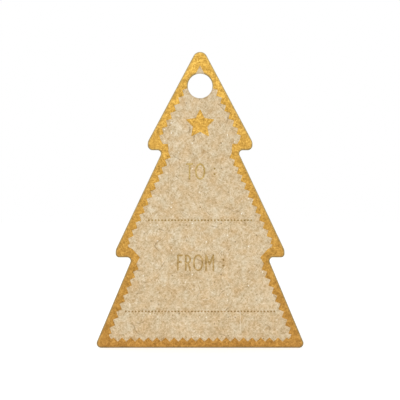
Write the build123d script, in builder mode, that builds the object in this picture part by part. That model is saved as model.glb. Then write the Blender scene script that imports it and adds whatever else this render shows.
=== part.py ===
"""Gift tag: a kraft card, die-cut as a three-tier fir tree and hot-stamped with gold foil.

The tag hangs by its hole. +Z is up, the stamped face looks along -Y, and the origin is
the centre of the hole, halfway through the card. All lengths are in millimetres.
"""

import os

from build123d import *

# Card: tier heights from the sharp apex down, widths between sharp corners, and how far
# a tier hangs over the neck below it
card_thickness = 0.5
top_tier_height = 25.83
middle_tier_height = 25.97
bottom_tier_height = 21.9
top_tier_width = 27.5
middle_tier_width = 42.6
base_width = 51.2
top_tier_overhang = 4.75
middle_tier_overhang = 4.9

# Card: height of the upright flank that blunts each tip, and rounding of each kind of corner
top_tip_flank = 2.0
middle_tip_flank = 1.8
apex_radius = 1.8
flank_radius = 2.0
top_tip_radius = 1.2
middle_tip_radius = 0.85
neck_radius = 0.85
base_radius = 1.1

# Hanging hole, placed below the sharp apex
hole_diameter = 6.0
hole_drop = 10.25

# Hot stamping: the die sinks the card by the stamp depth and leaves the foil on that floor
stamp_depth = 0.05
foil_thickness = 0.03
overrun = 0.1

# Foil border: its narrowest width, the pinked teeth along its inner edge, how far the tooth
# at each neck reaches in from the neck's corner, and how far below the hole's centre the
# last tooth lies
border_width = 1.5
tooth_depth = 1.0
tooth_pitch = 2.1
least_tooth_share = 0.25
lower_neck_tooth = 1.8
upper_neck_tooth = 1.2
last_tooth_drop = 0.55

# Foil star, placed between the hole and the upper label
star_points = 5
star_point_radius = 3.7
star_waist_radius = 1.85
star_tip_radius = 0.12
star_place_share = 0.4

# Foil writing lines: rows of dots that stop short of the border
dot_diameter = 0.42
dot_pitch = 0.8
upper_line_rise = 9.0
lower_line_rise = 8.8
upper_line_gap = 1.5
lower_line_gap = 0.8

# Foil labels: condensed capitals drawn with one pen width, each label above its line and a
# little to the right of the tag's axis
cap_height = 4.0
pen_width = 0.42
label_rise = 9.8
label_shift = 0.15
letter_gap = 0.45
letter_t_width = 1.75
letter_o_width = 2.5
letter_f_width = 1.45
letter_r_width = 1.5
letter_m_width = 2.2
colon_gap = 2.0
colon_dot_diameter = 0.46
colon_dot_spacing = 1.4
f_arm_share = 0.54
r_bowl_share = 0.46
m_valley_share = 0.6

# Planes, all seen from the front: local x is X, local y is Z, and the normal is -Y
back_face = Plane.XZ.offset(-card_thickness / 2)
stamp_floor = Plane.XZ.offset(card_thickness / 2 - stamp_depth)

# Heights of the tiers' lower edges
top_tier_edge = hole_drop - top_tier_height
middle_tier_edge = top_tier_edge - middle_tier_height
base_edge = middle_tier_edge - bottom_tier_height

# Sharp corners of the tree, anticlockwise: up the right side to the apex, down the left
base_corner = Vector(base_width / 2, base_edge)
middle_tip = Vector(middle_tier_width / 2, middle_tier_edge)
lower_neck = middle_tip - Vector(middle_tier_overhang, 0)
top_tip = Vector(top_tier_width / 2, top_tier_edge)
upper_neck = top_tip - Vector(top_tier_overhang, 0)
apex = Vector(0, hole_drop)
right_corners = [base_corner, lower_neck, middle_tip, upper_neck, top_tip]

# Directions of the tree's right sides, going up
bottom_side = (lower_neck - base_corner).normalized()
middle_side = (upper_neck - middle_tip).normalized()
top_side = (apex - top_tip).normalized()


def mirrored(point):
    """The same point on the other side of the tag's upright axis."""
    return Vector(-point.X, point.Y)


tree_corners = right_corners + [apex] + [mirrored(corner) for corner in reversed(right_corners)]


def inset(corner, distance):
    """A corner of the tree moved inwards, by the same distance from both of its sides."""
    place = tree_corners.index(corner)
    after = tree_corners[(place + 1) % len(tree_corners)]
    inward_before = (corner - tree_corners[place - 1]).normalized().rotate(Axis.Z, 90)
    inward_after = (after - corner).normalized().rotate(Axis.Z, 90)
    spread = 1 + inward_before.dot(inward_after)
    return corner + (inward_before + inward_after) * (distance / spread)


def tooth_peaks(corner, end):
    """A corner of the field, then peaks one pitch apart, counted back from the edge's end."""
    run = end - corner
    step = run.normalized() * tooth_pitch
    count = int(run.length / tooth_pitch - least_tooth_share) + 1
    return [corner] + [end - step * tooth for tooth in reversed(range(count))]


def pinked(peaks):
    """An edge through its peaks, with a dip outside each two of them, all equally steep."""
    points = peaks[:1]
    for start, end in zip(peaks, peaks[1:]):
        outward = (end - start).rotate(Axis.Z, -90) * (tooth_depth / tooth_pitch)
        points += [(start + end) * (1 / 2) + outward, end]
    return points


def corners_near(sketch, points):
    """The sketch's vertices that lie nearest to the points."""
    return [sketch.vertices().sort_by_distance(point)[0] for point in points]


def flank_ends(tip, side, height):
    """The lower and the upper end of the upright flank that blunts a tip."""
    upper = tip + side * (height / side.Y)
    return Vector(upper.X, tip.Y), upper


# Outline of the card: the tree with its tips blunted and every corner rounded
middle_flank_low, middle_flank_high = flank_ends(middle_tip, middle_side, middle_tip_flank)
top_flank_low, top_flank_high = flank_ends(top_tip, top_side, top_tip_flank)
corner_radii = [
    (base_corner, base_radius),
    (lower_neck, neck_radius),
    (middle_flank_low, middle_tip_radius),
    (middle_flank_high, flank_radius),
    (upper_neck, neck_radius),
    (top_flank_low, top_tip_radius),
    (top_flank_high, flank_radius),
]
right_outline = [corner for corner, radius in corner_radii]
left_outline = [mirrored(corner) for corner in reversed(right_outline)]

with BuildSketch(back_face) as tree:
    Polygon(*right_outline, apex, *left_outline, align=None)
    fillet(corners_near(tree, [apex]), apex_radius)
    for corner, radius in corner_radii:
        fillet(corners_near(tree, [corner, mirrored(corner)]), radius)

# Bare kraft field: its edge starts at the middle of the base and runs up the right side
tooth_line = border_width + tooth_depth / 2
peak_line = border_width + tooth_depth


def inside(point, side, depth):
    """A point moved in, square to one of the tree's right sides."""
    return point + side.rotate(Axis.Z, 90) * depth


# Bottom tier: teeth along the base and the side, then the tooth at the neck
base_middle = Vector(0, base_edge + peak_line)
bottom_corner = inset(base_corner, peak_line)
bottom_end = inside(lower_neck - bottom_side * tooth_pitch, bottom_side, peak_line)
base_peaks = tooth_peaks(bottom_corner, base_middle)
bottom_peaks = tooth_peaks(bottom_corner, bottom_end)
right_points = [
    *pinked(base_peaks[::-1] + bottom_peaks[1:]),
    inside(lower_neck - bottom_side * (tooth_pitch / 2), bottom_side, border_width),
    lower_neck - Vector(lower_neck_tooth, 0),
    lower_neck + Vector(0, tooth_line),
]

# Middle tier: teeth along the side, then the tooth at the neck
middle_corner = inset(middle_tip, peak_line)
middle_end = inside(upper_neck - middle_side * (tooth_pitch * 2 / 5), middle_side, peak_line)
right_points += [
    *pinked(tooth_peaks(middle_corner, middle_end)),
    inside(upper_neck, middle_side, border_width),
    upper_neck + Vector(-upper_neck_tooth, border_width),
    upper_neck + Vector(0, border_width),
]

# Top tier: teeth that end beside the hole, and a plain point above it
top_corner = inset(top_tip, peak_line)
top_end = top_corner - top_side * ((top_corner.Y + last_tooth_drop) / top_side.Y)
right_points += [
    *pinked(tooth_peaks(top_corner, top_end)),
    inset(apex, peak_line),
]
left_points = [mirrored(point) for point in reversed(right_points[1:-1])]

with BuildSketch(stamp_floor) as field:
    Polygon(*right_points, *left_points, align=None)

# Border: what the card has outside the field
with BuildSketch(stamp_floor) as border_outline:
    add(tree.sketch_local)
    add(field.sketch_local, mode=Mode.SUBTRACT)
    Circle(hole_diameter / 2, mode=Mode.SUBTRACT)


# Writing lines
def row_of_dots(height, lower_corner, upper_corner, gap):
    """Dots along one writing line, as many as fit between the border's teeth."""
    side = upper_corner - lower_corner
    half_width = lower_corner.X + side.X * (height - lower_corner.Y) / side.Y
    reach = peak_line * side.length / side.Y
    room = 2 * (half_width - reach - gap)
    count = int((room - dot_diameter) / dot_pitch) + 1
    with Locations((0, height)):
        with GridLocations(dot_pitch, dot_pitch, count, 1):
            Circle(dot_diameter / 2)


upper_line = middle_tier_edge + upper_line_rise
lower_line = base_edge + lower_line_rise

with BuildSketch(stamp_floor) as upper_dots:
    row_of_dots(upper_line, middle_tip, upper_neck, upper_line_gap)

with BuildSketch(stamp_floor) as lower_dots:
    row_of_dots(lower_line, base_corner, lower_neck, lower_line_gap)

# Star
label_top = upper_line + label_rise + cap_height
hole_bottom = -hole_diameter / 2
star_height = hole_bottom + (label_top - hole_bottom) * star_place_share
star_turn = 360 / star_points

with BuildSketch(stamp_floor) as star_outline:
    outer_points = []
    star_corners = []
    for point in range(star_points):
        outer = Vector(0, star_point_radius).rotate(Axis.Z, point * star_turn)
        waist = Vector(0, star_waist_radius).rotate(Axis.Z, (point + 1 / 2) * star_turn)
        outer_points.append(outer + Vector(0, star_height))
        star_corners += [outer + Vector(0, star_height), waist + Vector(0, star_height)]
    Polygon(*star_corners, align=None)
    fillet(corners_near(star_outline, outer_points), star_tip_radius)


# Letters: each stands on its baseline, with its left side at zero
def stroke(start, end):
    """A straight pen stroke with round ends."""
    start, end = Vector(start), Vector(end)
    SlotCenterPoint((start + end) * (1 / 2), end, pen_width)


def letter_t(left, middle, right, bottom, top):
    """A bar along the top and a stem down its middle."""
    stroke((left, top), (right, top))
    stroke((middle, bottom), (middle, top))


def letter_o(left, middle, right, bottom, top):
    """An upright oval ring."""
    with Locations((middle, (bottom + top) / 2)):
        half_width, half_height = (right - left) / 2, (top - bottom) / 2
        Ellipse(half_width + pen_width / 2, half_height + pen_width / 2)
        Ellipse(half_width - pen_width / 2, half_height - pen_width / 2, mode=Mode.SUBTRACT)


def letter_f(left, middle, right, bottom, top):
    """A stem, a bar along the top and a shorter arm below it."""
    arm = bottom + (top - bottom) * f_arm_share
    stroke((left, bottom), (left, top))
    stroke((left, top), (right, top))
    stroke((left, arm), ((middle + right) / 2, arm))


def letter_r(left, middle, right, bottom, top):
    """A stem, a round bowl and a straight leg."""
    waist = bottom + (top - bottom) * r_bowl_share
    stroke((left, bottom), (left, top))
    with BuildLine(mode=Mode.PRIVATE) as bowl:
        ThreePointArc((left, top), (right, (waist + top) / 2), (left, waist))
    SlotArc(bowl.wire(), pen_width)
    stroke((middle, waist), (right, bottom))


def letter_m(left, middle, right, bottom, top):
    """Two stems with a shallow valley between them."""
    valley = top - (top - bottom) * m_valley_share
    stroke((left, bottom), (left, top))
    stroke((left, top), (middle, valley))
    stroke((middle, valley), (right, top))
    stroke((right, bottom), (right, top))


def colon(left, middle, right, bottom, top):
    """Two dots, one above the other, about the letters' middle height."""
    with Locations((middle, (bottom + top) / 2)):
        with GridLocations(colon_dot_spacing, colon_dot_spacing, 1, 2):
            Circle(colon_dot_diameter / 2)


to_label = [
    ("foil_to_letter_t", letter_t, letter_t_width, letter_gap),
    ("foil_to_letter_o", letter_o, letter_o_width, colon_gap),
    ("foil_to_colon", colon, colon_dot_diameter, 0),
]
from_label = [
    ("foil_from_letter_f", letter_f, letter_f_width, letter_gap),
    ("foil_from_letter_r", letter_r, letter_r_width, letter_gap),
    ("foil_from_letter_o", letter_o, letter_o_width, letter_gap),
    ("foil_from_letter_m", letter_m, letter_m_width, colon_gap),
    ("foil_from_colon", colon, colon_dot_diameter, 0),
]

letter_outlines = {}
for label, line in ((to_label, upper_line), (from_label, lower_line)):
    baseline = line + label_rise
    bottom, top = baseline + pen_width / 2, baseline + cap_height - pen_width / 2
    start = label_shift - sum(width + space for name, draw, width, space in label) / 2
    for name, draw, width, space in label:
        with BuildSketch(stamp_floor) as letter_outline:
            draw(start + pen_width / 2, start + width / 2, start + width - pen_width / 2, bottom, top)
        letter_outlines[name] = letter_outline
        start += width + space

# Pieces: the card, then each island of foil that the die leaves on it
os.makedirs("parts", exist_ok=True)
motifs = {
    "foil_star": star_outline,
    "foil_upper_line_dots": upper_dots,
    "foil_lower_line_dots": lower_dots,
    **letter_outlines,
}

with BuildPart() as card:
    extrude(tree.sketch, amount=card_thickness - stamp_depth)
    extrude(field.sketch, amount=stamp_depth)
    for motif in motifs.values():
        extrude(motif.sketch, amount=stamp_depth + overrun, mode=Mode.SUBTRACT)
    with Locations(Plane.XZ):
        Hole(hole_diameter / 2)
card.part.label = "kraft_card"
export_step(card.part, "parts/kraft_card.step")

with BuildPart() as border:
    extrude(border_outline.sketch, amount=foil_thickness)
border.part.label = "foil_border"
export_step(border.part, "parts/foil_border.step")

for name, outline in motifs.items():
    with BuildPart() as foil:
        extrude(outline.sketch, amount=foil_thickness)
    foil.part.label = name
    export_step(foil.part, f"parts/{name}.step")
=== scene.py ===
"""Looks of a gift tag: kraft board, die-cut as a three-tier fir tree and hot-stamped with gold foil.

Outlines are read from the frame's own flat faces. In the card's plane x runs right and z up, as
seen from the front. Lengths are in millimetres, and become metres when a mesh is made.
"""

import math

import bpy
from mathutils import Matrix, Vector, noise
from mathutils.bvhtree import BVHTree
from mathutils.geometry import delaunay_2d_cdt
from mathutils.kdtree import KDTree


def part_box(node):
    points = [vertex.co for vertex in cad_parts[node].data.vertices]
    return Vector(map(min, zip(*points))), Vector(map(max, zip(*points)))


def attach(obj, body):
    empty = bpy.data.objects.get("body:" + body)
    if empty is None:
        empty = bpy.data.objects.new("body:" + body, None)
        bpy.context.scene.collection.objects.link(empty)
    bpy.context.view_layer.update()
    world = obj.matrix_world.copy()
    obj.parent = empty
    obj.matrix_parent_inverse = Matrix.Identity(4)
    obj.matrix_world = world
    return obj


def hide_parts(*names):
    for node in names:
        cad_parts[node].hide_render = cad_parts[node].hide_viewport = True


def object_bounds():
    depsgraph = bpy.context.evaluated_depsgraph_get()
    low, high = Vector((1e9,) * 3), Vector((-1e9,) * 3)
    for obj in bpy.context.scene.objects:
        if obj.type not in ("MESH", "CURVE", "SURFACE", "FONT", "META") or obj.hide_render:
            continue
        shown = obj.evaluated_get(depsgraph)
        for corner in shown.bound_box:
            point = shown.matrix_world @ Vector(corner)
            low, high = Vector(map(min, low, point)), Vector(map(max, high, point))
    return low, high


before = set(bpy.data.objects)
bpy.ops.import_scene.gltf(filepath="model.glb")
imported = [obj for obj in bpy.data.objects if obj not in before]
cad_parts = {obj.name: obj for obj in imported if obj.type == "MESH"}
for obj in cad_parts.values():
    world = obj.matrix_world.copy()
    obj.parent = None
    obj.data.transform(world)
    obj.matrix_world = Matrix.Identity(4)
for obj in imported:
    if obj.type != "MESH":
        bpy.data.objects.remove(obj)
cad_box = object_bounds()

MM = 0.001

# The photograph: its side, and where the tag's rounded top, base edge and upright axis are in it
PHOTO_SIDE_PX = 400
TAG_TOP_PX = 51.9
TAG_BASE_PX = 347.8
TAG_AXIS_PX = 200.1

# Camera: its lens and sensor, and the nearest it sees, in metres
LENS = 100
SENSOR = 36
NEAREST = 0.01

# Studio, in metres: a white floor, an even light all round and a softbox in front and above
FLOOR_HALF = 1.5
FLOOR_LIFT = 0.38
FLOOR_ROUGHNESS = 0.9
AMBIENT = 0.715
SOFTBOX_PLACE = Vector((0, -0.9, 0.45))
SOFTBOX_WIDTH = 1.4
SOFTBOX_HEIGHT = 0.9
SOFTBOX_RADIANCE = 1.15

# Board surface: how far apart its lumps are, and how high each kind stands about its mean
BOARD_LUMPS = ((5.0, 0.003), (1.4, 0.002), (0.6, 0.0018))
PRESSED_SHARE = 0.5
BACK_OFFSET = 40.0

# Cut edges: the die rolls the front over and tears the plies a little, and board and foil are coloured
# darker near them
ROLL_WIDTH = 0.2
ROLL_DEPTH = 0.05
CUT_EDGE_DARK_WIDTH = 0.6
CUT_EDGE_DARK_ATTRIBUTE = "cut_edge_dark"
BACK_ROLL_DEPTH = 0.02
CUT_PLIES = 6
CUT_ROUGHNESS = 0.014
CUT_LUMP = 0.35

# Stamped edges: the board slopes down into the stamp, and the foil thins out
LIP_WIDTH = 0.12
LIP_DEPTH = 0.014
LIP_SLOPE = 0.02
FEATHER_WIDTH = 0.07
FEATHER_DEPTH = 0.004
FLOOR_GAP = 0.004

# Fibres: a real one is about 0.03 mm wide, and is drawn coarser here so that it shows
FIBRE_WIDTH = 0.26
FIBRE_LENGTH = 1.5
FIBRE_WAYS = 6
FIBRE_BEND = 2.2
FIBRE_SWAY = 0.6

# Patches of tone: their sizes, and how finely they break up
GRAIN_SIZE = 0.5
MOTTLE_SIZE = 2.6
CLOUD_SIZE = 7.0
PATCH_DETAIL = 3.0
PATCH_ROUGHNESS = 0.6

# Tone: the usual values of the patterns and of their sum, and how much the fibres, the grain, the
# mottling and, on the board, the clouds count in it
WEB_MIDDLE = 0.63
NOISE_MIDDLE = 0.5
TONE_MIDDLE = 0.5
KRAFT_WEIGHTS = (1.9, 0.9, 0.3, 0.3)
FOIL_WEIGHTS = (2.0, 1.15, 0.5)
BUMP_DEPTH = 0.02
BUMP_STRENGTH = 0.5

# Warmer patches of the board
TINT_SIZE = 2.4
TINT_FROM = 0.25
TINT_FULL = 0.75
TINT_SHADE = "#fceedb"

# Loose fibres and flecks of the board
STRAND_BEND = 5.0
STRAND_SHARE = 0.015
STRAND_PATCH = 4.0
STRAND_SHOWN_FROM = 0.55
STRAND_SHOWN_FULL = 0.61
SPECK_SPACING = 1.7
SPECK_RADIUS = 0.22
SPECK_CORE = 0.5
SPECK_SHARE = 0.17

# Flaws of the board, and its darker colour near the cut edge: how strongly each kind covers it, and
# its colour
DARK_STRAND = (0.6, "#86683c")
PALE_STRAND = (0.5, "#f6ead2")
DARK_SPECK = (0.8, "#7a5f3a")
PALE_SPECK = (0.9, "#fff6e4")
BOARD_DARK_AT_CUT = (0.5, "#8f8068")

# Painted light on the foil: a tint of painted shade, darker and redder, at the tag's base and none at
# its top; and the foil's dull olive near the cut edge
FOIL_PAINTED_SHADE_AT_BASE = "#f4e4f6"
FOIL_PAINTED_LIGHT_AT_TOP = "#ffffff"
FOIL_DARK_AT_CUT = "#7d7453"

# Shine: the foil is rougher in the hollows of its tone than on the crests
KRAFT_ROUGHNESS = 0.9
KRAFT_SPECULAR = 0.25
FOIL_HOLLOW_ROUGHNESS = 0.45
FOIL_CREST_ROUGHNESS = 0.25

# Meshes: spacing of the points, of the rows beside an edge, and of the samples that distances to
# an edge are read from
BOARD_STEP = 0.28
FOIL_STEP = 0.2
FINE_STEP = 0.11
BOARD_INSETS = (ROLL_WIDTH / 3, ROLL_WIDTH)
FOIL_INSETS = (FEATHER_WIDTH,)
BORDER_INSETS = (FEATHER_WIDTH, CUT_EDGE_DARK_WIDTH / 2)
SAMPLE_STEP = 0.03

# Meshes: tolerances
SAME_PLACE = 0.0005
PLACE_DIGITS = 4
INSET_DIGITS = 2
CLEAR_SHARE = 0.8
SLIVER_SHARE = 0.002
SHARPEST_MITRE = 0.5
ON_HOLE = 0.02
SHARP_ANGLE = math.radians(50)

# Which of the card's materials a face has
FACE_FINISH = 0
CUT_FINISH = 1


def depths(node):
    """A node's nearest and farthest depth along the line of sight."""
    low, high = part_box(node)
    return low.y / MM, high.y / MM


board_face, back_face = depths("kraft_card")
foil_face, stamp_floor = depths("foil_border")
foil_nodes = sorted(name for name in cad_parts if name.startswith("foil_"))


# Outlines

def around(corners):
    """The sides of a closed outline or face, each as its start and its end."""
    return zip(corners, corners[1:] + corners[:1])


def flat_outlines(node, depth):
    """The closed outlines of a node's flat face at one depth, each with the face on its left."""
    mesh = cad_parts[node].data
    places = [
        (round(v.co.x / MM, PLACE_DIGITS), round(v.co.z / MM, PLACE_DIGITS)) for v in mesh.vertices
    ]
    flat = [abs(v.co.y / MM - depth) < SAME_PLACE for v in mesh.vertices]
    sides = {}
    for face in mesh.polygons:
        if all(flat[corner] for corner in face.vertices):
            corners = [places[corner] for corner in face.vertices]
            if face.normal.y > 0:
                corners.reverse()
            sides.update(dict.fromkeys(around(corners)))
    after = {start: end for start, end in sides if start != end and (end, start) not in sides}
    outlines = []
    while after:
        start, point = after.popitem()
        outline = [start]
        while point != start:
            outline.append(point)
            point = after.pop(point)
        outlines.append([Vector(place) for place in outline])
    return outlines


def divided(outline, step):
    """The outline with its long sides divided, so that no side is longer than the step."""
    points = []
    for start, end in around(outline):
        count = max(1, math.ceil((end - start).length / step))
        points += [start.lerp(end, part / count) for part in range(count)]
    return points


def inward_ways(outline):
    """At each point of an outline, the mitred step to its left, one unit into the face."""
    ways = []
    for place, point in enumerate(outline):
        before = (point - outline[place - 1]).normalized()
        after = (outline[(place + 1) % len(outline)] - point).normalized()
        left = Vector((-before.y - after.y, before.x + after.x))
        ways.append(left / max(1 + before.dot(after), SHARPEST_MITRE))
    return ways


def tree_of(points):
    """A search tree over points of the card's plane."""
    tree = KDTree(len(points))
    for number, point in enumerate(points):
        tree.insert(point.to_3d(), number)
    tree.balance()
    return tree


def distance_to(outlines):
    """A function that gives a point's distance to the nearest of some outlines."""
    tree = tree_of([point for outline in outlines for point in divided(outline, SAMPLE_STEP)])
    return lambda point: tree.find(point.to_3d())[2]


# Surfaces

def eased(distance, width, depth):
    """A drop that is full at an edge and fades out over a width."""
    return depth * max(0.0, 1 - distance / width) ** 2


def lumps(point, offset=0.0):
    """How far the board's surface lies below its highest possible lump."""
    total = 0.0
    for spacing, height in BOARD_LUMPS:
        total += height * (1 + noise.noise(Vector((point.x, offset, point.y)) / spacing))
    return max(0.0, total)


def spatial(point, depth):
    """A point of the card's plane at a depth, as a place in the frame."""
    return Vector((point.x, depth, point.y))


def kept_sides(outlines):
    """The sides that a cover keeps as edges, each by the numbers of its two points."""
    sides = []
    first = 0
    for outline, kept in outlines:
        for side, point in enumerate(outline):
            after = (side + 1) % len(outline)
            if kept(point, outline[after]):
                sides.append((first + side, first + after))
        first += len(outline)
    return sides


def sides_of(triangles):
    """Each side of the triangles as seen from its own triangle, with that triangle's depth."""
    return {side: depth for corners, depth in triangles for side in around(corners)}


class Cover:
    """Points and triangles that cover one node's front, with its outlines kept as edges.

    Each outline comes with a function that says which of its sides are kept.
    """

    def __init__(self, node, outlines, step, insets):
        graph = bpy.context.evaluated_depsgraph_get()
        self.solid = BVHTree.FromObject(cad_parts[node], graph)
        edge_points = [point for outline, _ in outlines for point in outline]
        self.ways = [way for outline, _ in outlines for way in inward_ways(outline)]
        near = tree_of(edge_points)
        points = edge_points + self.inset_points(edge_points, near, insets)
        points += self.grid_points(node, near, step, max(insets) + step / 2)
        made = delaunay_2d_cdt(points, kept_sides(outlines), [], 0, SAME_PLACE, True)
        self.points = made[0]
        self.sources = [min(source, default=len(points)) for source in made[3]]
        self.triangles = []
        for corners in made[2]:
            middle = sum((self.points[corner] for corner in corners), Vector((0, 0))) / 3
            depth = self.depth(middle)
            if depth is not None:
                self.triangles.append((tuple(corners), depth))
        count = 0
        while count != len(self.triangles):
            count = len(self.triangles)
            self.drop_edge_slivers()

    def inset_points(self, edge_points, near, insets):
        """Rows of points beside the outlines, where they are clear of other edges."""
        found = {}
        for inset in insets:
            for point, way in zip(edge_points, self.ways):
                moved = point + way * inset
                is_clear = near.find(moved.to_3d())[2] > CLEAR_SHARE * inset
                if is_clear and self.depth(moved) is not None:
                    found[round(moved.x, INSET_DIGITS), round(moved.y, INSET_DIGITS)] = moved
        return list(found.values())

    def grid_points(self, node, near, step, reach):
        """A triangular grid of points, farther from the outlines than the reach."""
        low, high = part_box(node)
        rise = step * math.sqrt(3) / 2
        found = []
        for row in range(int((high.z - low.z) / MM / rise) + 1):
            for place in range(int((high.x - low.x) / MM / step) + 1):
                x = low.x / MM + (place + row % 2 / 2) * step
                point = Vector((x, low.z / MM + row * rise))
                if near.find(point.to_3d())[2] > reach and self.depth(point) is not None:
                    found.append(point)
        return found

    def drop_edge_slivers(self):
        """Leave out triangles that have a free side and no real width."""
        sides = sides_of(self.triangles)
        self.triangles = [
            (corners, depth) for corners, depth in self.triangles
            if not self.is_sliver(corners)
            or all((end, start) in sides for start, end in around(corners))
        ]

    def is_sliver(self, corners):
        """Whether a triangle's corners lie almost in one line."""
        a, b, c = [self.points[corner] for corner in corners]
        longest = max((b - a).length, (c - b).length, (a - c).length)
        return abs((b - a).cross(c - a)) < SLIVER_SHARE * longest ** 2

    def depth(self, point):
        """How deep the node's front lies at a point, or None beside the node."""
        start = Vector((point.x * MM, -1, point.y * MM))
        place = self.solid.ray_cast(start, Vector((0, 1, 0)))[0]
        return None if place is None else place.y / MM

    def way(self, number):
        """The inward step at a point that lies on an outline, and none elsewhere."""
        source = self.sources[number]
        return self.ways[source] if source < len(self.ways) else Vector((0, 0))


def add_object(name, data):
    """A new object of the scene, made of a mesh, a light or a camera."""
    made = bpy.data.objects.new(name, data)
    bpy.context.scene.collection.objects.link(made)
    return made


class Sheet:
    """A closed thin solid, collected face by face and made into one object.

    Each of its layers is a function that gives the place of a numbered point.
    """

    def __init__(self):
        self.numbers = {}
        self.places = []
        self.faces = []
        self.finishes = []

    def vertex(self, layer, number):
        """The vertex of a layer at a point, which is made the first time it is asked for."""
        if (layer, number) not in self.numbers:
            self.numbers[layer, number] = len(self.places)
            self.places.append(layer(number) * MM)
        return self.numbers[layer, number]

    def face(self, layer, corners):
        """Add a face that lies in one layer."""
        self.faces.append([self.vertex(layer, corner) for corner in corners])
        self.finishes.append(FACE_FINISH)

    def wall(self, upper, lower, start, end, finish=FACE_FINISH):
        """Add a face that joins two layers along a side."""
        top = [self.vertex(upper, number) for number in (end, start)]
        bottom = [self.vertex(lower, number) for number in (start, end)]
        self.faces.append(top + bottom)
        self.finishes.append(finish)

    def make(self, name, materials):
        """The collected faces as one object, smooth but for its sharp folds."""
        mesh = bpy.data.meshes.new(name)
        mesh.from_pydata(self.places, [], self.faces)
        for material in materials:
            mesh.materials.append(material)
        mesh.polygons.foreach_set("material_index", self.finishes)
        mesh.shade_smooth()
        mesh.set_sharp_from_angle(angle=SHARP_ANGLE)
        return add_object(name, mesh)


def turned(triangle):
    """A triangle seen from its other side."""
    return triangle[::-1]


# The card

whole_outlines = flat_outlines("kraft_card", back_face)
hole_outline, tree_outline = sorted(whole_outlines, key=lambda outline: max(p.length for p in outline))
hole_radius = max(point.length for point in hole_outline)
to_cut_edge = distance_to(whole_outlines)


def on_hole(point):
    """Whether a point lies on the edge of the hanging hole."""
    return abs(point.length - hole_radius) < ON_HOLE


def always(start, end):
    """True, for an outline whose sides are all kept."""
    return True


def beside_hole(start, end):
    """Whether the side between two points of an outline is more than the edge of the hole."""
    return not (on_hole(start) and on_hole(end))


def cut_roll(point):
    """How far the cutting die rolled the front over at a point."""
    return eased(to_cut_edge(point), ROLL_WIDTH, ROLL_DEPTH)


def darkened_near_cut(piece):
    """The piece, with a measure at each point of how near it lies to the cut edge, where its colour is
    darkened.
    """
    edge_dark = piece.data.attributes.new(CUT_EDGE_DARK_ATTRIBUTE, "FLOAT", "POINT")
    flat = [vertex.co.xz / MM for vertex in piece.data.vertices]
    edge_dark.data.foreach_set("value", [eased(to_cut_edge(point), CUT_EDGE_DARK_WIDTH, 1.0) for point in flat])
    return piece


def card_outlines():
    """The card's two cut edges, and the lips of its raised areas, which end at the hole."""
    junctions = []
    lips = []
    for outline in flat_outlines("kraft_card", board_face):
        held = [on_hole(point) for point in outline]
        for place, point in enumerate(outline):
            if held[place] and not (held[place - 1] and held[(place + 1) % len(outline)]):
                junctions.append(point)
        lips.append([p for place, p in enumerate(outline) if not held[place] or p in junctions])
    clear = [p for p in hole_outline if all((p - j).length > BOARD_STEP / 2 for j in junctions)]
    hole = sorted(clear + junctions, key=lambda point: -math.atan2(point.y, point.x))
    rims = [divided(outline, BOARD_STEP) for outline in (tree_outline, hole)]
    return rims, [divided(lip, BOARD_STEP) for lip in lips]


def make_card(materials):
    """The board: a bare field, stamped areas a little lower, cut edges and a back."""
    rims, lips = card_outlines()
    rim_count = sum(len(rim) for rim in rims)
    outlines = [(rim, always) for rim in rims] + [(lip, beside_hole) for lip in lips]
    cover = Cover("kraft_card", outlines, BOARD_STEP, BOARD_INSETS)
    to_lip = distance_to(lips)
    level = (board_face + stamp_floor) / 2

    def raised(number):
        """The bare field, which slopes down into the stamp."""
        point = cover.points[number]
        drop = lumps(point) + cut_roll(point) + eased(to_lip(point), LIP_WIDTH, LIP_DEPTH)
        on_lip = rim_count <= cover.sources[number]
        moved = point + cover.way(number) * LIP_SLOPE if on_lip else point
        return spatial(moved, board_face + drop)

    def floor(number):
        """The stamped areas, just behind the foil."""
        point = cover.points[number]
        return spatial(point, stamp_floor + FLOOR_GAP + cut_roll(point))

    def back(number):
        """The bare back, with lumps of its own."""
        point = cover.points[number]
        drop = lumps(point, BACK_OFFSET) + eased(to_cut_edge(point), ROLL_WIDTH, BACK_ROLL_DEPTH)
        return spatial(point, back_face - drop)

    def ply(count):
        """One of the torn plies of the cut edge, counted from the front."""
        front_depth = stamp_floor + FLOOR_GAP + ROLL_DEPTH
        share = count / (CUT_PLIES + 1)
        depth = front_depth + (back_face - BACK_ROLL_DEPTH - front_depth) * share

        def torn(number):
            point = cover.points[number]
            tear = 1 + noise.noise(Vector((point.x, count * CUT_LUMP, point.y)) / CUT_LUMP)
            return spatial(point + cover.way(number) * (CUT_ROUGHNESS * tear / 2), depth)
        return torn

    sheet = Sheet()
    rings = [floor] + [ply(count) for count in range(1, CUT_PLIES + 1)] + [back]
    for corners, depth in cover.triangles:
        sheet.face(raised if depth < level else floor, corners)
        sheet.face(back, turned(corners))
    sides = sides_of(cover.triangles)
    for (start, end), depth in sides.items():
        beside = sides.get((end, start))
        if depth < level and (beside is None or beside > level):
            sheet.wall(raised, floor, start, end)
        if beside is None:
            for upper, lower in zip(rings, rings[1:]):
                sheet.wall(upper, lower, start, end, CUT_FINISH)
    return darkened_near_cut(sheet.make("kraft_board", materials))


# The foil

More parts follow.
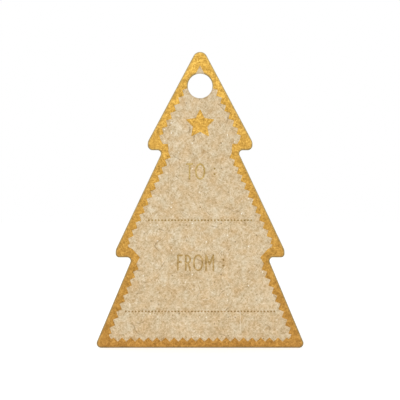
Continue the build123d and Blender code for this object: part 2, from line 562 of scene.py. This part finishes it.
def make_foil(node, material, step):
    """One area of foil, pressed into the board so that the board's lumps show through it."""
    outlines = [divided(outline, step) for outline in flat_outlines(node, foil_face)]
    insets = BORDER_INSETS if node == "foil_border" else FOIL_INSETS
    cover = Cover(node, [(outline, always) for outline in outlines], step, insets)
    to_edge = distance_to(outlines)

    def top(number):
        """The foil's face, which thins out at its edge."""
        point = cover.points[number]
        drop = PRESSED_SHARE * lumps(point) + cut_roll(point)
        return spatial(point, foil_face + drop + eased(to_edge(point), FEATHER_WIDTH, FEATHER_DEPTH))

    def bottom(number):
        """The foil's back, which lies on the stamped board."""
        point = cover.points[number]
        return spatial(point, stamp_floor + cut_roll(point))

    sheet = Sheet()
    for corners, _ in cover.triangles:
        sheet.face(top, corners)
        sheet.face(bottom, turned(corners))
    sides = sides_of(cover.triangles)
    for start, end in sides:
        if (end, start) not in sides:
            sheet.wall(top, bottom, start, end)
    return darkened_near_cut(sheet.make(node.replace("foil_", "gold_"), [material]))


# Materials

def linear(code):
    """A colour written as sRGB hex, as the linear values that shaders use."""
    shares = [int(code[place:place + 2], 16) / 255 for place in (1, 3, 5)]
    return [s / 12.92 if s <= 0.04045 else ((s + 0.055) / 1.055) ** 2.4 for s in shares] + [1]


def add_node(tree, kind, inputs=(), **settings):
    """A shader node with its settings, whose inputs are constants or other nodes' outputs."""
    made = tree.nodes.new(kind)
    for name, value in settings.items():
        setattr(made, name, value)
    for socket, value in dict(inputs).items():
        if isinstance(value, bpy.types.NodeSocket):
            tree.links.new(value, made.inputs[socket])
        else:
            made.inputs[socket].default_value = value
    return made


def new_material(name):
    """An empty node material, with its tree and its shader."""
    material = bpy.data.materials.new(name)
    material.use_nodes = True
    return material, material.node_tree, material.node_tree.nodes["Principled BSDF"]


def per_metre(spacing):
    """The scale of a pattern that repeats about every so many millimetres."""
    return 1 / (spacing * MM)


def fibre_web(tree, place):
    """Crossing fibres: streaks that lie in several directions, with the lightest on top."""
    bend = add_node(tree, "ShaderNodeTexNoise", {"Vector": place, "Scale": per_metre(FIBRE_BEND)})
    sway = add_node(
        tree, "ShaderNodeVectorMath",
        {0: bend.outputs["Color"], 1: [FIBRE_SWAY * MM] * 3, 2: place}, operation="MULTIPLY_ADD",
    )
    web = 0.0
    for way in range(FIBRE_WAYS):
        laid = add_node(
            tree, "ShaderNodeMapping",
            {
                "Vector": sway.outputs[0],
                "Location": (way * CLOUD_SIZE * MM, 0, 0),
                "Rotation": (0, way * math.pi / FIBRE_WAYS, 0),
                "Scale": (FIBRE_WIDTH * MM, FIBRE_LENGTH * MM, FIBRE_LENGTH * MM),
            },
            vector_type="TEXTURE",
        )
        streak = add_node(
            tree, "ShaderNodeTexNoise", {"Vector": laid.outputs[0], "Scale": 1.0, "Detail": 1.0}
        )
        web = add_node(
            tree, "ShaderNodeMath", {0: streak.outputs["Fac"], 1: web}, operation="MAXIMUM"
        ).outputs[0]
    return web


def strands(tree, place, seed):
    """Single long fibres: thin curved lines, each only shown for a few millimetres."""
    line = add_node(
        tree, "ShaderNodeTexNoise",
        {"Vector": place, "W": seed, "Scale": per_metre(STRAND_BEND), "Detail": 0.0},
        noise_dimensions="4D",
    )
    beside = add_node(
        tree, "ShaderNodeMath", {0: line.outputs["Fac"], 1: NOISE_MIDDLE}, operation="SUBTRACT"
    )
    away = add_node(tree, "ShaderNodeMath", {0: beside.outputs[0]}, operation="ABSOLUTE")
    thin = add_node(
        tree, "ShaderNodeMapRange",
        {"Value": away.outputs[0], "From Max": STRAND_SHARE, "To Min": 1.0, "To Max": 0.0},
    )
    patch = add_node(
        tree, "ShaderNodeTexNoise",
        {"Vector": place, "W": seed + 0.5, "Scale": per_metre(STRAND_PATCH)},
        noise_dimensions="4D",
    )
    shown = add_node(
        tree, "ShaderNodeMapRange",
        {
            "Value": patch.outputs["Fac"],
            "From Min": STRAND_SHOWN_FROM,
            "From Max": STRAND_SHOWN_FULL,
        },
    )
    return add_node(
        tree, "ShaderNodeMath", {0: thin.outputs[0], 1: shown.outputs[0]}, operation="MULTIPLY"
    ).outputs[0]


def specks(tree, place, shift):
    """Flecks: one in some of the cells that divide the face, some stronger than others."""
    laid = add_node(
        tree, "ShaderNodeMapping",
        {"Vector": place, "Location": (shift * MM, 0, 0), "Rotation": (math.pi / 2, 0, 0)},
    )
    cells = add_node(
        tree, "ShaderNodeTexVoronoi",
        {"Vector": laid.outputs[0], "Scale": per_metre(SPECK_SPACING)}, voronoi_dimensions="2D",
    )
    radius = SPECK_RADIUS / SPECK_SPACING
    spot = add_node(
        tree, "ShaderNodeMapRange",
        {
            "Value": cells.outputs["Distance"],
            "From Min": radius * SPECK_CORE,
            "From Max": radius,
            "To Min": 1.0,
            "To Max": 0.0,
        },
    )
    chance = add_node(tree, "ShaderNodeSeparateColor", {"Color": cells.outputs["Color"]})
    strength = add_node(
        tree, "ShaderNodeMapRange",
        {"Value": chance.outputs["Red"], "From Max": SPECK_SHARE, "To Min": 1.0, "To Max": 0.0},
    )
    return add_node(
        tree, "ShaderNodeMath", {0: spot.outputs[0], 1: strength.outputs[0]}, operation="MULTIPLY"
    ).outputs[0]


def weighted(tree, patterns):
    """A weighted sum of patterns, each with its usual value, that lies about the middle tone."""
    tone = TONE_MIDDLE - sum(weight * usual for _, weight, usual in patterns)
    for pattern, weight, _ in patterns:
        tone = add_node(
            tree, "ShaderNodeMath", {0: pattern, 1: weight, 2: tone}, operation="MULTIPLY_ADD"
        ).outputs[0]
    return tone


def pulp(tree, shader, place, weights, shades):
    """The board's fibres, grain and clouds, as relief, as a tone and as that tone's colour."""
    web_weight, *patch_weights = weights
    patterns = [(fibre_web(tree, place), web_weight, WEB_MIDDLE)]
    for size, weight in zip((GRAIN_SIZE, MOTTLE_SIZE, CLOUD_SIZE), patch_weights):
        patches = add_node(
            tree, "ShaderNodeTexNoise",
            {
                "Vector": place,
                "Scale": per_metre(size),
                "Detail": PATCH_DETAIL,
                "Roughness": PATCH_ROUGHNESS,
            },
        )
        patterns.append((patches.outputs["Fac"], weight, NOISE_MIDDLE))
    tone = weighted(tree, patterns)
    relief = add_node(
        tree, "ShaderNodeBump",
        {"Height": tone, "Strength": BUMP_STRENGTH, "Distance": BUMP_DEPTH * MM},
    )
    tree.links.new(relief.outputs["Normal"], shader.inputs["Normal"])
    ramp = add_node(tree, "ShaderNodeValToRGB", {"Fac": tone})
    ramp.color_ramp.elements.new(TONE_MIDDLE)
    for stop, shade in zip(ramp.color_ramp.elements, shades):
        stop.color = linear(shade)
    return tone, ramp.outputs["Color"]


def make_kraft(name, shades):
    """Kraft board, unbleached pulp dried on a felt: matt and mottled, with loose fibres and flecks."""
    material, tree, shader = new_material(name)
    place = add_node(tree, "ShaderNodeTexCoord").outputs["Object"]
    _, colour = pulp(tree, shader, place, KRAFT_WEIGHTS, shades)
    patches = add_node(
        tree, "ShaderNodeTexNoise", {"Vector": place, "Scale": per_metre(TINT_SIZE), "Detail": 1.0}
    )
    tint = add_node(
        tree, "ShaderNodeMapRange",
        {"Value": patches.outputs["Fac"], "From Min": TINT_FROM, "From Max": TINT_FULL},
    )
    colour = add_node(
        tree, "ShaderNodeMixRGB",
        {"Fac": tint.outputs[0], "Color1": colour, "Color2": linear(TINT_SHADE)},
        blend_type="MULTIPLY",
    ).outputs["Color"]
    # Darker colour of the board near the cut edge
    edge_dark = add_node(tree, "ShaderNodeAttribute", attribute_name=CUT_EDGE_DARK_ATTRIBUTE)
    flaws_and_edge_dark = (
        (strands(tree, place, seed=1.0), DARK_STRAND),
        (strands(tree, place, seed=3.0), PALE_STRAND),
        (specks(tree, place, shift=0.0), DARK_SPECK),
        (specks(tree, place, shift=CLOUD_SIZE), PALE_SPECK),
        (edge_dark.outputs["Fac"], BOARD_DARK_AT_CUT),
    )
    for mask, (strength, shade) in flaws_and_edge_dark:
        cover = add_node(tree, "ShaderNodeMath", {0: mask, 1: strength}, operation="MULTIPLY")
        colour = add_node(
            tree, "ShaderNodeMixRGB",
            {"Fac": cover.outputs[0], "Color1": colour, "Color2": linear(shade)},
        ).outputs["Color"]
    tree.links.new(colour, shader.inputs["Base Color"])
    shader.inputs["Roughness"].default_value = KRAFT_ROUGHNESS
    shader.inputs["Specular IOR Level"].default_value = KRAFT_SPECULAR
    return material


def make_gold(name, shades):
    """Metallised foil, hot-stamped on the board: a thin satin gold that the fibres show through.

    Painted light: a tint darkens and reddens it from none at the tag's top to most at its base,
    and it turns a dull olive along the cut edge.
    """
    material, tree, shader = new_material(name)
    place = add_node(tree, "ShaderNodeTexCoord").outputs["Object"]
    tone, colour = pulp(tree, shader, place, FOIL_WEIGHTS, shades)
    low, high = cad_box
    height = add_node(tree, "ShaderNodeSeparateXYZ", {"Vector": place})
    climb = add_node(
        tree, "ShaderNodeMapRange",
        {"Value": height.outputs["Z"], "From Min": low.z, "From Max": high.z},
    )
    # Painted light: the foil is made darker and redder towards the tag's base, lighter and paler
    # towards its top
    painted_light_tint = add_node(
        tree, "ShaderNodeMixRGB",
        {"Fac": climb.outputs[0], "Color1": linear(FOIL_PAINTED_SHADE_AT_BASE), "Color2": linear(FOIL_PAINTED_LIGHT_AT_TOP)},
    )
    colour = add_node(
        tree, "ShaderNodeMixRGB",
        {"Fac": 1.0, "Color1": colour, "Color2": painted_light_tint.outputs["Color"]}, blend_type="MULTIPLY",
    ).outputs["Color"]
    # A dull olive colour near the cut edge
    edge_dark = add_node(tree, "ShaderNodeAttribute", attribute_name=CUT_EDGE_DARK_ATTRIBUTE)
    colour = add_node(
        tree, "ShaderNodeMixRGB",
        {"Fac": edge_dark.outputs["Fac"], "Color1": colour, "Color2": linear(FOIL_DARK_AT_CUT)},
    ).outputs["Color"]
    rough = add_node(
        tree, "ShaderNodeMapRange",
        {"Value": tone, "To Min": FOIL_HOLLOW_ROUGHNESS, "To Max": FOIL_CREST_ROUGHNESS},
    )
    tree.links.new(rough.outputs[0], shader.inputs["Roughness"])
    shader.inputs["Metallic"].default_value = 1.0
    tree.links.new(colour, shader.inputs["Base Color"])
    return material


kraft_face = make_kraft("kraft_board_felt_dried", ("#a98d60", "#d9c7a6", "#f9eeda"))
kraft_cut = make_kraft("kraft_board_die_cut", ("#8c7044", "#bfa373", "#e2cda6"))
gold_foil = make_gold("gold_foil_hot_stamped", ("#876728", "#b78f40", "#e0bb5f"))
stroke_foil = make_gold("gold_foil_fine_strokes", ("#796433", "#a89258", "#cfba82"))
# Painted shade: the dots' foil is a darker copy of the border's, for the shade at the small dots' rims
dot_foil_painted_shade = make_gold("gold_foil_fine_dots_painted_shade", ("#6c592a", "#9a844c", "#bea469"))

card = make_card([kraft_face, kraft_cut])
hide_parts("kraft_card")
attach(card, "root")

for node in foil_nodes:
    if node in ("foil_border", "foil_star"):
        foil = make_foil(node, gold_foil, FOIL_STEP)
    elif "letter" in node:
        foil = make_foil(node, stroke_foil, FINE_STEP)
    else:
        foil = make_foil(node, dot_foil_painted_shade, FINE_STEP)
    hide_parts(node)
    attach(foil, "root")


# Studio

def seen_rays(tree):
    """One for rays that show the background itself: seen directly, mirrored or through glass."""
    path = add_node(tree, "ShaderNodeLightPath")
    mirrored = add_node(
        tree, "ShaderNodeMath",
        {0: path.outputs["Is Camera Ray"], 1: path.outputs["Is Glossy Ray"]}, operation="MAXIMUM",
    )
    seen = add_node(
        tree, "ShaderNodeMath",
        {0: mirrored.outputs[0], 1: path.outputs["Is Transmission Ray"]}, operation="MAXIMUM",
    )
    return seen.outputs[0]


def make_paper():
    """Smooth white paper, matt and lifted to white where it is seen as the background."""
    material, tree, shader = new_material("white_paper_floor")
    shader.inputs["Base Color"].default_value = linear("#eeeeec")
    shader.inputs["Roughness"].default_value = FLOOR_ROUGHNESS
    shader.inputs["Emission Color"].default_value = linear("#ffffff")
    lift = add_node(
        tree, "ShaderNodeMath", {0: seen_rays(tree), 1: FLOOR_LIFT}, operation="MULTIPLY"
    )
    tree.links.new(lift.outputs[0], shader.inputs["Emission Strength"])
    return material


def make_floor():
    """A plain white floor that the tag's base edge stands on."""
    level = cad_box[0].z
    mesh = bpy.data.meshes.new("floor")
    ways = ((-1, -1), (1, -1), (1, 1), (-1, 1))
    corners = [(x * FLOOR_HALF, y * FLOOR_HALF, level) for x, y in ways]
    mesh.from_pydata(corners, [], [(0, 1, 2, 3)])
    mesh.materials.append(make_paper())
    floor = add_object("floor", mesh)


def make_world():
    """White where it is seen, and a soft even light on everything else."""
    world = bpy.data.worlds.new("studio")
    world.use_nodes = True
    tree = world.node_tree
    background = tree.nodes["Background"]
    background.inputs["Color"].default_value = linear("#ffffff")
    strength = add_node(
        tree, "ShaderNodeMapRange", {"Value": seen_rays(tree), "To Min": AMBIENT, "To Max": 1.0}
    )
    tree.links.new(strength.outputs["Result"], background.inputs["Strength"])
    bpy.context.scene.world = world


def make_softbox():
    """A rectangular soft light that looks at the tag's middle."""
    low, high = cad_box
    light = bpy.data.lights.new("front_softbox", "AREA")
    light.shape = "RECTANGLE"
    light.size = SOFTBOX_WIDTH
    light.size_y = SOFTBOX_HEIGHT
    light.energy = SOFTBOX_RADIANCE * math.pi * SOFTBOX_WIDTH * SOFTBOX_HEIGHT
    softbox = add_object("front_softbox", light)
    softbox.location = SOFTBOX_PLACE
    toward = (low + high) / 2 - SOFTBOX_PLACE
    softbox.rotation_euler = toward.to_track_quat("-Z", "Y").to_euler()


def make_camera():
    """Straight at the tag, at the distance where it is as large as in the photograph."""
    low, high = cad_box
    metres_per_px = (high.z - low.z) / (TAG_BASE_PX - TAG_TOP_PX)
    middle = PHOTO_SIDE_PX / 2
    distance = PHOTO_SIDE_PX * metres_per_px * LENS / SENSOR
    camera = bpy.data.cameras.new("camera")
    camera.lens = LENS
    camera.sensor_width = SENSOR
    camera.clip_start = NEAREST
    placed = add_object("camera", camera)
    x = (middle - TAG_AXIS_PX) * metres_per_px
    z = low.z + (TAG_BASE_PX - middle) * metres_per_px
    placed.location = (x, foil_face * MM - distance, z)
    placed.rotation_euler = (math.pi / 2, 0, 0)
    bpy.context.scene.camera = placed


make_floor()
make_world()
make_softbox()
make_camera()
bpy.context.scene.view_settings.view_transform = "Standard"
